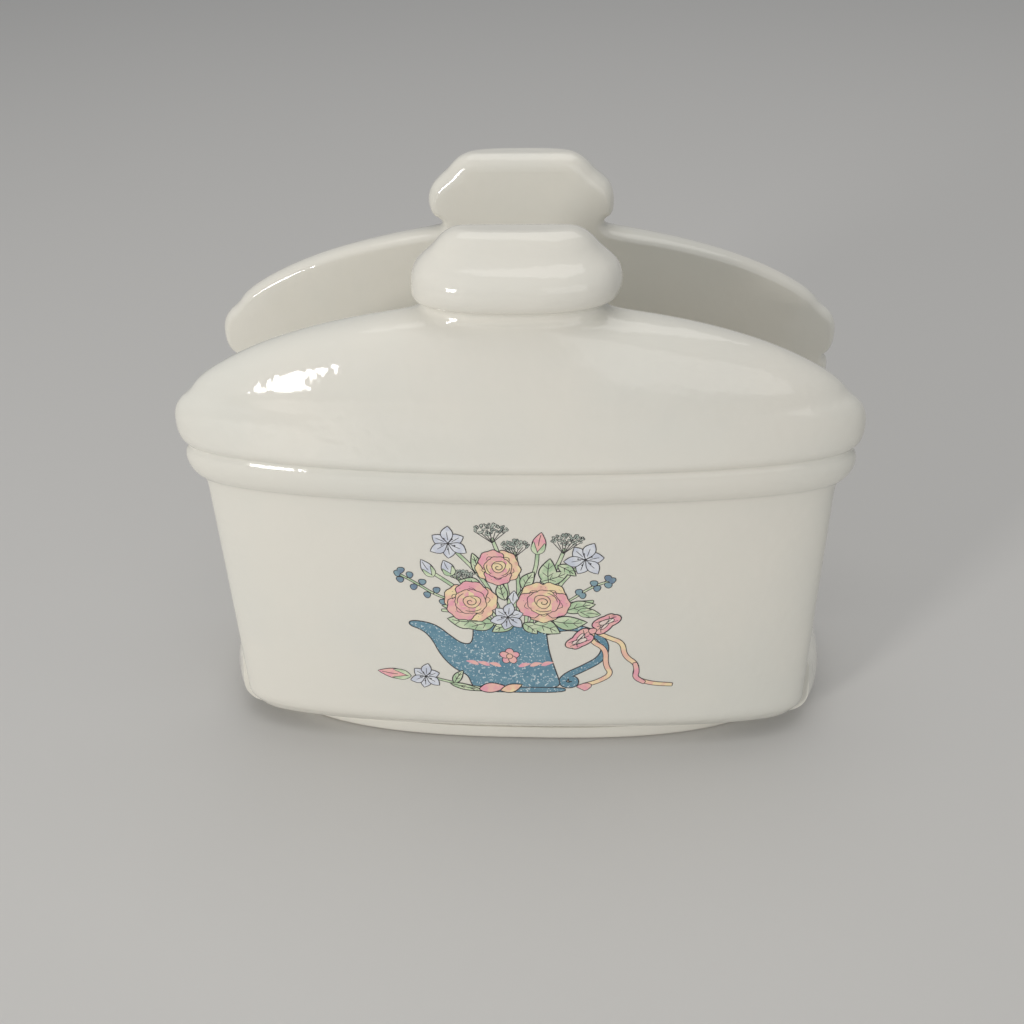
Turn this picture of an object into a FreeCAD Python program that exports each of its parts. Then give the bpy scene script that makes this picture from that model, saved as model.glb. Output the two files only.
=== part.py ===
import FreeCAD, Part
import Sketcher
import math
import os

# Napkin holder in the shape of an oval lidded tureen, cut down the middle by an open slot.
# Frame: origin on the table under the centre, +Z up, slot along X, printed front at -Y. Millimetres.
# The front half is modelled; the plain back half is its mirror image.

SIZES = {
    # slot and casting
    "slot_gap": 44.0,            # clear width between the two slot walls
    "slot_wall": 3.5,            # thickness of each flat wall beside the slot
    "casting_wall": 4.0,         # wall of the hollow body, lid, knob and saddle
    "least_round": 1.0,          # smallest run of a rounded edge inside the casting
    "floor_level": 22.0,         # top of the slot floor above the table
    # body, a half oval that stands out from each slot wall
    "body_half_width": 77.2,     # just under the rim
    "body_taper": 2.0,           # how much narrower each end is at the bottom
    "body_depth": 12.5,          # how far the body stands out, just under the rim
    "depth_taper": 1.3,          # how much less it stands out at the bottom
    "bottom_round": 8.0,         # round bottom edge: its height, and its run at the ends
    "front_round": 6.5,          # its run at the front
    # rim roll at the top of the body
    "rim_level": 78.8,           # where the wall meets the underside of the roll
    "rim_drop": 6.3,             # height of the rounded underside of the roll
    "rim_roll": 3.8,             # how far the roll stands out at the ends
    "rim_front_roll": 2.9,       # how far it stands out at the front
    # lid
    "seam_level": 87.6,          # groove between the rim roll and the lid
    "lip_half_width": 82.5,      # widest point of the whole holder
    "lip_depth": 16.5,           # how far the lip stands out from the slot wall
    "lip_rise": 7.3,             # seam up to the widest point of the lip
    "lip_top_rise": 7.6,         # widest point of the lip up to the dome
    "lip_under_roll": 1.8,       # lip pulled in at the seam, at the ends
    "lip_under_front": 1.6,      # the same at the front
    "dome_half_width": 86.0,     # half axis of the dome's outline
    "dome_base": 88.0,           # level of that outline's centre
    "dome_end_wall": 2.0,        # how much thicker the dome is towards its ends
    "dome_rise": 36.3,           # its height
    "dome_front": 6.6,           # depth of the dome at its crown
    "dome_swell": 9.9,           # extra depth towards the lip
    # knob
    "neck_level": 124.5,
    "neck_half_width": 21.0,
    "neck_depth": 8.6,
    "knob_half_width": 23.7,     # belly of the knob
    "knob_depth": 13.1,
    "knob_corner": 0.7,          # share of the depth that each round vertical corner takes
    "belly_rise": 6.8,           # neck up to the widest point
    "belly_round": 4.5,          # height of the round above and below it
    "belly_roll": 1.7,           # how far the belly pulls in over that height
    "shoulder_rise": 14.2,       # neck up to the hollow under the crest
    "shoulder_half_width": 17.5,
    "shoulder_depth": 8.0,
    "crest_half_width": 11.5,
    "crest_depth": 4.0,
    "knob_height": 18.5,         # neck up to the crest
    "crest_swell": 0.6,          # how far the shoulder swells out below the crest
    # saddle that joins the two halves under the slot
    "end_bulge": 6.1,            # how far its ends bow out past the body
    "floor_end_round": 6.0,      # round upper edge at each open end of the slot
    "vent_hole": 9.0,            # diameter of the two vent holes in the bottom
    "vent_spacing": 70.0,
    # foot
    "foot_height": 4.5,
    "foot_half_axis": 88.0,      # half axis of the foot's long curves
    "foot_half_depth": 33.4,
    "foot_half_length": 74.0,
    "foot_corner": 14.0,
    "foot_ring": 6.0,            # width of the ring that the holder stands on
    # printed transfer on the front
    "transfer_width": 78.0,
    "transfer_height": 55.0,
    "transfer_level": 18.6,      # its lower edge above the table
    "transfer_shift": 1.5,       # its middle, to the right of the holder's
    "transfer_film": 0.2,
}

SAME_LEVEL = 0.01                              # how close in height an edge lies to a level
SLOT_FACE = "(Sizes.slot_gap / 2)"
RELIEF_PLANE = "(Sizes.slot_gap / 2 + Sizes.slot_wall)"
SPAN = "(2 * Sizes.lip_half_width + 40)"       # longer than anything that it cuts
WALL_FOOT = "(Sizes.foot_height + Sizes.bottom_round)"
LOW_HALF_WIDTH = "(Sizes.body_half_width - Sizes.body_taper)"
LOW_DEPTH = "(Sizes.body_depth - Sizes.depth_taper)"
SEAM_HALF_WIDTH = "(Sizes.lip_half_width - Sizes.lip_under_roll)"
SEAM_DEPTH = "(Sizes.lip_depth - Sizes.lip_under_front)"


def make_sheet(doc):
    sheet = doc.addObject("Spreadsheet::Sheet", "Sizes")
    for row, (alias, value) in enumerate(SIZES.items(), 1):
        sheet.set(f"A{row}", alias)
        sheet.set(f"B{row}", str(value))
        sheet.setAlias(f"B{row}", alias)
    doc.recompute()


def add(doc, kind, name, **values):
    item = doc.addObject(kind, name)
    for key, value in values.items():
        setattr(item, key, value)
    return item


# Solids from level ellipses


def ring(doc, name, half_width, depth, level):
    """A level ellipse centred on the front relief plane."""
    item = add(doc, "Part::Ellipse", name)
    item.setExpression("MajorRadius", half_width)
    item.setExpression("MinorRadius", depth)
    item.setExpression("Placement.Base.y", f"-{RELIEF_PLANE}")
    item.setExpression("Placement.Base.z", level)
    return item


def oval_loft(doc, name, sections):
    """A solid through level ellipses, each given as half width, depth and level."""
    rings = [ring(doc, f"{name}_ring_{number}", *section) for number, section in enumerate(sections)]
    return add(doc, "Part::Loft", name, Sections=rings, Solid=True, Ruled=True)


def body_sections(inset):
    """Round bottom edge, wall and rim roll; inset is 0 outside and the casting wall inside."""
    sections = []
    for angle in (90, 70, 50, 30, 0):
        run = f"(Sizes.bottom_round - {inset}) * (1 - cos({angle} deg))"
        front = f"max(Sizes.front_round - {inset}; Sizes.least_round) * (1 - cos({angle} deg))"
        drop = f"(Sizes.bottom_round - {inset}) * sin({angle} deg)"
        sections.append((f"{LOW_HALF_WIDTH} - {inset} - {run}", f"{LOW_DEPTH} - {inset} - {front}",
                         f"{WALL_FOOT} - {drop}"))
    for angle in (90, 60, 30, 0):
        roll = f"Sizes.rim_roll * cos({angle} deg)"
        front = f"Sizes.rim_front_roll * cos({angle} deg)"
        sections.append((f"Sizes.body_half_width - {inset} + {roll}",
                         f"Sizes.body_depth - {inset} + {front}",
                         f"Sizes.rim_level + Sizes.rim_drop * (1 - sin({angle} deg))"))
    sections.append((f"{SEAM_HALF_WIDTH} - {inset}", f"{SEAM_DEPTH} - {inset}", "Sizes.seam_level"))
    return sections


def dome_section(angle, inset, half_width):
    """One ellipse of the dome, at an angle up its outline."""
    return (f"{half_width} * cos({angle} deg)",
            f"Sizes.dome_front - {inset} + Sizes.dome_swell * cos({angle} deg)",
            f"Sizes.dome_base + (Sizes.dome_rise - {inset}) * sin({angle} deg)")


def lid_outer_sections():
    """Lip roll and dome, up to the neck of the knob."""
    lip_level = "(Sizes.seam_level + Sizes.lip_rise)"
    sections = []
    for angle in (90, 55, 25, 0):
        turn = f"(1 - cos({angle} deg))"
        sections.append((f"Sizes.lip_half_width - Sizes.lip_under_roll * {turn}",
                         f"Sizes.lip_depth - Sizes.lip_under_front * {turn}",
                         f"{lip_level} - Sizes.lip_rise * sin({angle} deg)"))
    for angle in (30, 60):
        turn = f"(1 - cos({angle} deg))"
        sections.append((f"Sizes.lip_half_width - 2 * Sizes.lip_under_roll * {turn}",
                         f"Sizes.lip_depth - Sizes.lip_under_front / 2 * {turn}",
                         f"{lip_level} + Sizes.lip_top_rise * sin({angle} deg)"))
    sections += [dome_section(angle, "0", "Sizes.dome_half_width") for angle in (25, 35, 45, 55, 65, 74)]
    sections.append(("Sizes.neck_half_width", "Sizes.neck_depth", "Sizes.neck_level"))
    return sections


def lid_inner_sections():
    """Cavity of the lid, open to the body below and to the knob above."""
    inset = "Sizes.casting_wall"
    half_width = f"(Sizes.dome_half_width - {inset} - Sizes.dome_end_wall)"
    sections = [(f"{SEAM_HALF_WIDTH} - {inset}", f"{SEAM_DEPTH} - {inset}", "Sizes.seam_level")]
    sections += [dome_section(angle, inset, half_width) for angle in (12, 25, 40, 55, 68, 77)]
    sections.append((f"Sizes.neck_half_width - {inset}", f"Sizes.neck_depth - {inset}", "Sizes.neck_level"))
    return sections


def box(doc, name, along, across, up):
    """A box from (low, high) pairs of expressions along X, Y and Z."""
    item = add(doc, "Part::Box", name)
    for size, axis, (low, high) in (("Length", "x", along), ("Width", "y", across), ("Height", "z", up)):
        item.setExpression(size, f"({high}) - ({low})")
        item.setExpression(f"Placement.Base.{axis}", low)
    return item


def whole_length():
    return (f"-{SPAN} / 2", f"{SPAN} / 2")


def front_space(doc, name):
    """Everything in front of the front slot wall."""
    return box(doc, name, whole_length(), (f"-{SPAN}", f"-{RELIEF_PLANE}"), ("0", SPAN))


def shell(doc, name, outer, inner):
    """A hollow casting, open towards the slot wall."""
    hollow = add(doc, "Part::Cut", f"{name}_hollow", Base=outer, Tool=inner)
    return add(doc, "Part::Common", name, Base=hollow, Tool=front_space(doc, f"{name}_space"))


# Sketches


def origin_plane(body, role):
    return next(item for item in body.Origin.OriginFeatures if item.Role == role)


def plane_sketch(body, name, role, level="0"):
    sketch = body.newObject("Sketcher::SketchObject", name)
    sketch.AttachmentSupport = (origin_plane(body, role), [""])
    sketch.MapMode = "FlatFace"
    sketch.setExpression("AttachmentOffset.Base.z", level)
    return sketch


def bound(sketch, kind, *places, to):
    """A dimension whose value follows an expression."""
    value = float(sketch.evalExpression(to))
    index = sketch.addConstraint(Sketcher.Constraint(kind, *places, value))
    sketch.setExpression(f"Constraints[{index}]", to)


def at(sketch, edge, end, x=None, y=None):
    """Fix the end of an edge at expressions measured from the sketch's origin."""
    if x:
        bound(sketch, "DistanceX", -1, 1, edge, end, to=x)
    if y:
        bound(sketch, "DistanceY", -1, 1, edge, end, to=y)


def join(sketch, count, kind="Coincident"):
    for edge in range(count):
        sketch.addConstraint(Sketcher.Constraint(kind, edge, 2, (edge + 1) % count, 1))


def rectangle(sketch, left, right, low, high):
    x0, x1, y0, y1 = (float(sketch.evalExpression(text)) for text in (left, right, low, high))
    corners = [FreeCAD.Vector(x, y) for x, y in ((x0, y0), (x1, y0), (x1, y1), (x0, y1))]
    for number in range(4):
        sketch.addGeometry(Part.LineSegment(corners[number], corners[(number + 1) % 4]))
    join(sketch, 4)
    for number, kind in enumerate(("Horizontal", "Vertical", "Horizontal", "Vertical")):
        sketch.addConstraint(Sketcher.Constraint(kind, number))
    at(sketch, 0, 1, x=left, y=low)
    at(sketch, 2, 1, x=right, y=high)


def half_block(sketch, half_width, depth):
    """A level section of the knob: straight along the relief plane, two round corners in front."""
    corner = f"({depth}) * Sizes.knob_corner"
    w, d, r, back = (float(sketch.evalExpression(text)) for text in (half_width, depth, corner, RELIEF_PLANE))
    front = -back - d
    point = FreeCAD.Vector
    quarter = math.pi / 2
    down = point(0, 0, 1)
    sketch.addGeometry(Part.LineSegment(point(-w, -back), point(-w, front + r)))
    left = Part.Circle(point(r - w, front + r), down, r)
    sketch.addGeometry(Part.ArcOfCircle(left, 2 * quarter, 3 * quarter))
    sketch.addGeometry(Part.LineSegment(point(r - w, front), point(w - r, front)))
    right = Part.Circle(point(w - r, front + r), down, r)
    sketch.addGeometry(Part.ArcOfCircle(right, 3 * quarter, 4 * quarter))
    sketch.addGeometry(Part.LineSegment(point(w, front + r), point(w, -back)))
    sketch.addGeometry(Part.LineSegment(point(w, -back), point(-w, -back)))
    for edge in range(4):
        sketch.addConstraint(Sketcher.Constraint("Tangent", edge, 2, edge + 1, 1))
    for edge in (4, 5):
        sketch.addConstraint(Sketcher.Constraint("Coincident", edge, 2, (edge + 1) % 6, 1))
    for edge, kind in ((0, "Vertical"), (4, "Vertical"), (5, "Horizontal")):
        sketch.addConstraint(Sketcher.Constraint(kind, edge))
    at(sketch, 5, 1, x=half_width, y=f"-{RELIEF_PLANE}")
    at(sketch, 5, 2, x=f"-({half_width})")
    at(sketch, 2, 1, y=f"-{RELIEF_PLANE} - ({depth})")
    bound(sketch, "Radius", 1, to=corner)
    bound(sketch, "Radius", 3, to=corner)


def loft_feature(body, kind, name, sketches):
    feature = body.newObject(kind, name)
    feature.Profile = sketches[0]
    feature.Sections = sketches[1:]
    feature.Ruled = True
    return feature


# Knob


def belly_section(angle, inset="0"):
    """The belly of the knob, from its underside (-90) over its widest point (0) to its top (90)."""
    pull = f"Sizes.belly_roll * (1 - cos({angle} deg))"
    return (f"Sizes.knob_half_width - {inset} - {pull}", f"Sizes.knob_depth - {inset} - {pull}",
            f"Sizes.belly_rise + Sizes.belly_round * sin({angle} deg)")


def knob_sections():
    """Half width, depth and rise above the neck, from the neck to the crest."""
    shoulder = ("Sizes.shoulder_half_width", "Sizes.shoulder_depth", "Sizes.shoulder_rise")
    crest = ("Sizes.crest_half_width", "Sizes.crest_depth", "Sizes.knob_height")
    below = ("(Sizes.shoulder_half_width + Sizes.crest_half_width) / 2",
             "(Sizes.shoulder_depth + Sizes.crest_depth) / 2 + Sizes.crest_swell",
             "(Sizes.shoulder_rise + Sizes.knob_height) / 2 + Sizes.crest_swell")
    return ([("Sizes.neck_half_width", "Sizes.neck_depth", "0")]
            + [belly_section(angle) for angle in (-90, -45, 0, 45, 90)] + [shoulder, below, crest])


def knob_cavity_sections():
    wall = "Sizes.casting_wall"
    return [(f"Sizes.neck_half_width - {wall}", f"Sizes.neck_depth - {wall}", "0"),
            belly_section(-90, wall), belly_section(0, wall),
            (f"Sizes.shoulder_half_width - {wall}", f"Sizes.shoulder_depth - {wall}",
             f"Sizes.knob_height - {wall}")]


def make_knob(doc, name):
    body = add(doc, "PartDesign::Body", name)
    for kind, part, sections in (("PartDesign::AdditiveLoft", "outside", knob_sections()),
                                 ("PartDesign::SubtractiveLoft", "cavity", knob_cavity_sections())):
        sketches = []
        for number, (half_width, depth, rise) in enumerate(sections):
            sketch = plane_sketch(body, f"{name}_{part}_{number}", "XY_Plane", f"Sizes.neck_level + {rise}")
            half_block(sketch, half_width, depth)
            sketches.append(sketch)
        doc.recompute()
        body.Tip = loft_feature(body, kind, f"{name}_{part}", sketches)
        doc.recompute()
    return body


# Slot wall: the whole outline of the holder, flat on both sides


def make_slot_wall(doc, name, outer_body, outer_lid):
    outline = add(doc, "Part::Fuse", f"{name}_outline", Base=outer_body, Tool=outer_lid)
    space = box(doc, f"{name}_space", whole_length(), (f"-{RELIEF_PLANE}", f"-{SLOT_FACE}"),
                ("Sizes.floor_level", "Sizes.neck_level"))
    lower = add(doc, "Part::Common", f"{name}_lower", Base=outline, Tool=space)
    upper = add(doc, "PartDesign::Body", f"{name}_upper")
    sketches = []
    for number, (half_width, _, rise) in enumerate(knob_sections()):
        sketch = plane_sketch(upper, f"{name}_upper_{number}", "XY_Plane", f"Sizes.neck_level + {rise}")
        rectangle(sketch, f"-({half_width})", half_width, f"-{RELIEF_PLANE}", f"-{SLOT_FACE}")
        sketches.append(sketch)
    doc.recompute()
    upper.Tip = loft_feature(upper, "PartDesign::AdditiveLoft", f"{name}_upper_loft", sketches)
    return add(doc, "Part::Fuse", name, Base=lower, Tool=upper)


# Saddle: slot floor, bottom and bowed ends that join the two halves


def end_arcs(sketch, half_width, bulge, half_depth):
    """A plan with straight long sides and ends that bow out."""
    w, b, d = (float(sketch.evalExpression(text)) for text in (half_width, bulge, half_depth))
    point = FreeCAD.Vector
    sketch.addGeometry(Part.LineSegment(point(-w, -d), point(w, -d)))
    sketch.addGeometry(Part.Arc(point(w, -d), point(w + b, 0), point(w, d)))
    sketch.addGeometry(Part.LineSegment(point(w, d), point(-w, d)))
    sketch.addGeometry(Part.Arc(point(-w, d), point(-w - b, 0), point(-w, -d)))
    join(sketch, 4)
    at(sketch, 0, 1, x=f"-{half_width}", y=f"-{half_depth}")
    at(sketch, 0, 2, x=half_width, y=f"-{half_depth}")
    at(sketch, 2, 1, x=half_width, y=half_depth)
    at(sketch, 2, 2, x=f"-{half_width}", y=half_depth)
    for edge in (1, 3):
        bound(sketch, "Radius", edge, to=f"({half_depth} ^ 2 + {bulge} ^ 2) / (2 * {bulge})")


def arc_edges(shape, level):
    """Names of the curved edges that lie at a level."""
    return [f"Edge{number}" for number, edge in enumerate(shape.Edges, 1)
            if isinstance(edge.Curve, Part.Circle) and all(abs(v.Z - level) < SAME_LEVEL
                                                       for v in edge.Vertexes)]


def make_saddle(doc, name):
    body = add(doc, "PartDesign::Body", name)
    plan = plane_sketch(body, f"{name}_plan", "XY_Plane", "Sizes.foot_height")
    end_arcs(plan, LOW_HALF_WIDTH, "Sizes.end_bulge", RELIEF_PLANE)
    pad = body.newObject("PartDesign::Pad", f"{name}_block")
    pad.Profile = plan
    pad.setExpression("Length", "Sizes.floor_level - Sizes.foot_height")
    doc.recompute()
    base = pad
    for part, level, radius in (("floor_ends", "Sizes.floor_level", "Sizes.floor_end_round"),
                                ("bottom_ends", "Sizes.foot_height", "Sizes.bottom_round")):
        fillet = body.newObject("PartDesign::Fillet", f"{name}_{part}")
        fillet.Base = (base, arc_edges(base.Shape, float(plan.evalExpression(level))))
        fillet.setExpression("Radius", radius)
        doc.recompute()
        base = fillet
    inside = plane_sketch(body, f"{name}_inside", "XZ_Plane")
    half_length = f"({LOW_HALF_WIDTH} - Sizes.casting_wall)"
    rectangle(inside, f"-{half_length}", half_length, "Sizes.foot_height + Sizes.casting_wall",
              "Sizes.floor_level - Sizes.casting_wall")
    hollow = body.newObject("PartDesign::Pocket", f"{name}_hollow")
    hollow.Profile = inside
    hollow.Midplane = True
    hollow.setExpression("Length", SPAN)
    doc.recompute()
    vents = plane_sketch(body, f"{name}_vents", "XY_Plane")
    radius = float(vents.evalExpression("Sizes.vent_hole / 2"))
    for edge, side in enumerate(("-1", "1")):
        middle = f"{side} * Sizes.vent_spacing / 2"
        centre = FreeCAD.Vector(float(vents.evalExpression(middle)), 0)
        vents.addGeometry(Part.Circle(centre, FreeCAD.Vector(0, 0, 1), radius))
        bound(vents, "Radius", edge, to="Sizes.vent_hole / 2")
        at(vents, edge, 3, x=middle)
        vents.addConstraint(Sketcher.Constraint("PointOnObject", edge, 3, -1))
    holes = body.newObject("PartDesign::Pocket", f"{name}_vent_holes")
    holes.Profile = vents
    holes.Midplane = True
    holes.setExpression("Length", "2 * (Sizes.foot_height + Sizes.casting_wall) + 2")
    doc.recompute()
    body.Tip = holes
    if not holes.Shape.Volume < hollow.Shape.Volume < base.Shape.Volume:
        raise RuntimeError("a pocket in the saddle cut nothing")
    return body


# Foot


def foot_block(doc, name, inset):
    """An oval with blunt rounded ends, as high as the foot."""
    oval = add(doc, "Part::Ellipse", f"{name}_oval")
    oval.setExpression("MajorRadius", f"Sizes.foot_half_axis - {inset}")
    oval.setExpression("MinorRadius", f"Sizes.foot_half_depth - {inset}")
    long_oval = add(doc, "Part::Extrusion", f"{name}_long_oval", Base=oval, Solid=True,
                    DirMode="Custom", Dir=FreeCAD.Vector(0, 0, 1))
    long_oval.setExpression("LengthFwd", "Sizes.foot_height")
    half_length = f"(Sizes.foot_half_length - {inset})"
    limits = box(doc, f"{name}_limits", (f"-{half_length}", half_length),
                 (f"-{SPAN} / 2", f"{SPAN} / 2"), ("0", "Sizes.foot_height"))
    blunt = add(doc, "Part::Common", f"{name}_blunt", Base=long_oval, Tool=limits)
    doc.recompute()
    radius = float(oval.evalExpression(f"Sizes.foot_corner - {inset}"))
    corners = [(number, radius, radius) for number, edge in enumerate(blunt.Shape.Edges, 1)
               if len(edge.Vertexes) == 2 and abs(edge.tangentAt(edge.FirstParameter).z) > 0.99]
    return add(doc, "Part::Fillet", f"{name}_rounded", Base=blunt, Edges=corners)


def make_foot(doc, name):
    outside = foot_block(doc, f"{name}_outside", "0")
    inside = foot_block(doc, f"{name}_inside", "Sizes.foot_ring")
    return add(doc, "Part::Cut", name, Base=outside, Tool=inside)


# Printed transfer


def make_transfer(doc, name, outer_body):
    """A thin film on the sloping front wall of the body."""
    film = "Sizes.transfer_film"
    proud = oval_loft(doc, f"{name}_proud", [
        (f"{LOW_HALF_WIDTH} + {film}", f"{LOW_DEPTH} + {film}", WALL_FOOT),
        (f"Sizes.body_half_width + {film}", f"Sizes.body_depth + {film}", "Sizes.rim_level")])
    skin = add(doc, "Part::Cut", f"{name}_skin", Base=proud, Tool=outer_body)
    frame = box(doc, f"{name}_frame",
                ("Sizes.transfer_shift - Sizes.transfer_width / 2",
                 "Sizes.transfer_shift + Sizes.transfer_width / 2"),
                (f"-{SPAN}", f"-{RELIEF_PLANE} - {LOW_DEPTH} / 4"),
                ("Sizes.transfer_level", "Sizes.transfer_level + Sizes.transfer_height"))
    return add(doc, "Part::Common", name, Base=skin, Tool=frame)


def make_holder(doc):
    outer_body = oval_loft(doc, "outer_body", body_sections("0"))
    inner_body = oval_loft(doc, "inner_body", body_sections("Sizes.casting_wall"))
    outer_lid = oval_loft(doc, "outer_lid", lid_outer_sections())
    inner_lid = oval_loft(doc, "inner_lid", lid_inner_sections())
    front = [shell(doc, "front_body", outer_body, inner_body),
             shell(doc, "front_lid", outer_lid, inner_lid),
             make_knob(doc, "front_knob"),
             make_slot_wall(doc, "front_slot_wall", outer_body, outer_lid)]
    back = [add(doc, "Part::Mirroring", piece.Name.replace("front", "back"), Source=piece,
                Normal=FreeCAD.Vector(0, 1, 0)) for piece in front]
    return front + back + [make_saddle(doc, "saddle"), make_foot(doc, "foot_ring"),
                           make_transfer(doc, "front_transfer", outer_body)]


def check(doc, pieces):
    for item in doc.Objects:
        if "Invalid" in item.State or "Error" in item.State:
            raise RuntimeError(f"{item.Name} failed: {item.State}")
    for piece in pieces:
        if piece.Shape.isNull() or not piece.Shape.isValid():
            raise RuntimeError(f"{piece.Name} has no valid shape")


def main():
    doc = FreeCAD.newDocument("napkin_holder")
    make_sheet(doc)
    pieces = make_holder(doc)
    doc.recompute()
    check(doc, pieces)
    os.makedirs("parts", exist_ok=True)
    for piece in pieces:
        piece.Shape.exportStep(f"parts/{piece.Label}.step")
        solids = len(piece.Shape.Solids)
        print(f"{piece.Label}: {solids} solid, {piece.Shape.Volume / 1000:.2f} cm3")


main()
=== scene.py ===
import math
import random

import bpy
from mathutils import Matrix, Vector


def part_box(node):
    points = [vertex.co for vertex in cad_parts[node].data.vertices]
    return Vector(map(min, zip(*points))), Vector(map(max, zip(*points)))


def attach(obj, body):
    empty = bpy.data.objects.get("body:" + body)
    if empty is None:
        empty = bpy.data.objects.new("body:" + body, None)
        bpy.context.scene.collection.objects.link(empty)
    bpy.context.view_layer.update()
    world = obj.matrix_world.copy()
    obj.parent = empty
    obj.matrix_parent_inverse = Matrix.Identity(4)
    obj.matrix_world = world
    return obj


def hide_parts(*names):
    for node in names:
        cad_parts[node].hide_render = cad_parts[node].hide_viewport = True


# Napkin holder in the shape of an oval lidded tureen: two glazed half tureens on one saddle and foot,
# with an open slot between them and a printed bouquet on the front. Sizes below are in millimetres.

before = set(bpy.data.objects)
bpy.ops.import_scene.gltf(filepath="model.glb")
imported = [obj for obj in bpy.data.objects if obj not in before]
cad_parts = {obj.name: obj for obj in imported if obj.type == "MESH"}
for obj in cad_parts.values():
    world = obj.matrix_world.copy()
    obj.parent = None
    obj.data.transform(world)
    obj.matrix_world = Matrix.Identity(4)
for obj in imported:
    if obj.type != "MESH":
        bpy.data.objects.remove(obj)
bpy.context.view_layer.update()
MM = 0.001
chance = random.Random(11)


def reach(node):
    """Lowest and highest corner of a CAD node, in millimetres."""
    lowest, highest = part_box(node)
    return lowest / MM, highest / MM


body_low, body_high = reach("front_body")
lid_low, lid_high = reach("front_lid")
knob_low, knob_high = reach("front_knob")
_, wall_high = reach("front_slot_wall")
_, saddle_high = reach("saddle")
_, foot_high = reach("foot_ring")

RELIEF = -body_high.y            # plane where each half stands out from its slot wall
SLOT_FACE = -wall_high.y         # flat face of the slot wall
WALL = RELIEF - SLOT_FACE
UNDERSIDE = body_low.z
SEAM = lid_low.z                 # groove between rim and lid
NECK = knob_low.z
TOP = knob_high.z
LIP = lid_high.x                 # half width of the lip
LIP_DEPTH = -lid_low.y - RELIEF
KNOB = knob_high.x
KNOB_DEPTH = -knob_low.y - RELIEF

BODY_TOP, BODY_TOP_DEPTH = LIP - 5.3, LIP_DEPTH - 3.9        # wall just under the rim
BODY_LOW, BODY_LOW_DEPTH = BODY_TOP - 2.0, BODY_TOP_DEPTH - 1.3   # and at its foot
BOTTOM_ROUND, FRONT_ROUND = 8.0, 6.5
RIM_FOOT = SEAM - 8.8
WALL_FOOT = UNDERSIDE + BOTTOM_ROUND
EDGE_ROUND = 2.1                 # soft edge between the outline and the slot face
CREST_EDGE = 4.0                 # the same edge on top of the knob, where the glaze is rounder
CREST_START, CREST_RUN = 6, 9    # how far above the neck the rounder edge begins, and its run
FRONT_LEAN, BACK_LEAN = 1.2, -0.5   # how far each knob sits off the middle
LEAN_RUN = 6                     # height over which a knob's lean comes in
DOME_OVER = 3.5                  # how far the dome's curve, carried down, would pass the lip
DOME_PULL_IN = 9.9               # how much less it stands out at its top
DOME_HOLLOW = 1.9                # how much slimmer it is halfway up
DOME_ANGLES = (29, 36, 44, 52, 60, 67, 71.5)
SMOOTH_ANGLE = 35                # sharper edges than this stay crisp, in degrees
MERGE_GAP = 0.002


# Modelling helpers


def only(piece):
    bpy.ops.object.select_all(action="DESELECT")
    piece.select_set(True)
    bpy.context.view_layer.objects.active = piece


def only_nothing():
    bpy.ops.object.select_all(action="DESELECT")


def edit(piece):
    only(piece)
    bpy.ops.object.mode_set(mode="EDIT")
    bpy.ops.mesh.select_all(action="SELECT")


def leave_edit():
    bpy.ops.object.mode_set(mode="OBJECT")


def apply_modifier(piece, kind, **settings):
    only(piece)
    modifier = piece.modifiers.new(kind.title(), kind)
    for key, value in settings.items():
        setattr(modifier, key, value)
    bpy.ops.object.modifier_apply(modifier=modifier.name)


def settle(piece, material, slot, *nodes):
    """Place, shading, material and frame facts of a finished piece."""
    only(piece)
    bpy.ops.object.transform_apply(location=True, rotation=True, scale=True)
    bpy.ops.object.shade_smooth_by_angle(angle=math.radians(SMOOTH_ANGLE))
    piece.data.materials.clear()
    piece.data.materials.append(material)
    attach(piece, "root")
    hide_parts(*nodes)


def held(value):
    """The value, kept between 0 and 1."""
    return min(max(value, 0), 1)


def cut_corners(pairs):
    """Two points on each pair, a quarter of the way in from its ends."""
    points = []
    for one, two in pairs:
        points.append(tuple(0.75 * p + 0.25 * q for p, q in zip(one, two)))
        points.append(tuple(0.25 * p + 0.75 * q for p, q in zip(one, two)))
    return points


def soften(points, rounds=3):
    """Cuts the corners of a line of points, and the ends stay."""
    for _ in range(rounds):
        points = [points[0]] + cut_corners(zip(points, points[1:])) + [points[-1]]
    return points


def slice_up(normal, places):
    """Scores extra edges round the piece that is being edited, square to a direction, at each place."""
    for place in places:
        bpy.ops.mesh.select_all(action="SELECT")
        centre = [part * place * MM for part in normal]
        bpy.ops.mesh.bisect(plane_co=centre, plane_no=normal)


def grid(name, around, rows):
    """A flat grid for a caller to lay out, with the column and row of each vertex."""
    only_nothing()
    bpy.ops.mesh.primitive_grid_add(x_subdivisions=around, y_subdivisions=rows, size=1)
    piece = bpy.context.object
    piece.name = piece.data.name = name
    places = [(round((v.co.x + 0.5) * around), round((v.co.y + 0.5) * rows)) for v in piece.data.vertices]
    return piece, places


def close_tube(piece):
    """Joins the two sides of a wrapped grid, closes its open ends and turns its faces outwards."""
    edit(piece)
    bpy.ops.mesh.remove_doubles(threshold=MERGE_GAP * MM)
    bpy.ops.mesh.fill_holes(sides=0)
    bpy.ops.mesh.select_all(action="SELECT")
    bpy.ops.mesh.normals_make_consistent(inside=False)
    leave_edit()


# The two half tureens


FRONT_STEPS, CORNER_STEPS, FLAT_STEPS = 104, 7, 26
AROUND = FRONT_STEPS + 2 * CORNER_STEPS + FLAT_STEPS
CAP_RINGS = (0.985, 0.94, 0.87, 0.77, 0.57, 0.34, 0.1)      # shrinking outlines that close an end
NORMAL_SPAN = 4                  # sections either side that give an outline its direction


def rounded(value, power):
    return math.copysign(abs(value) ** (2 / power), value)


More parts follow.
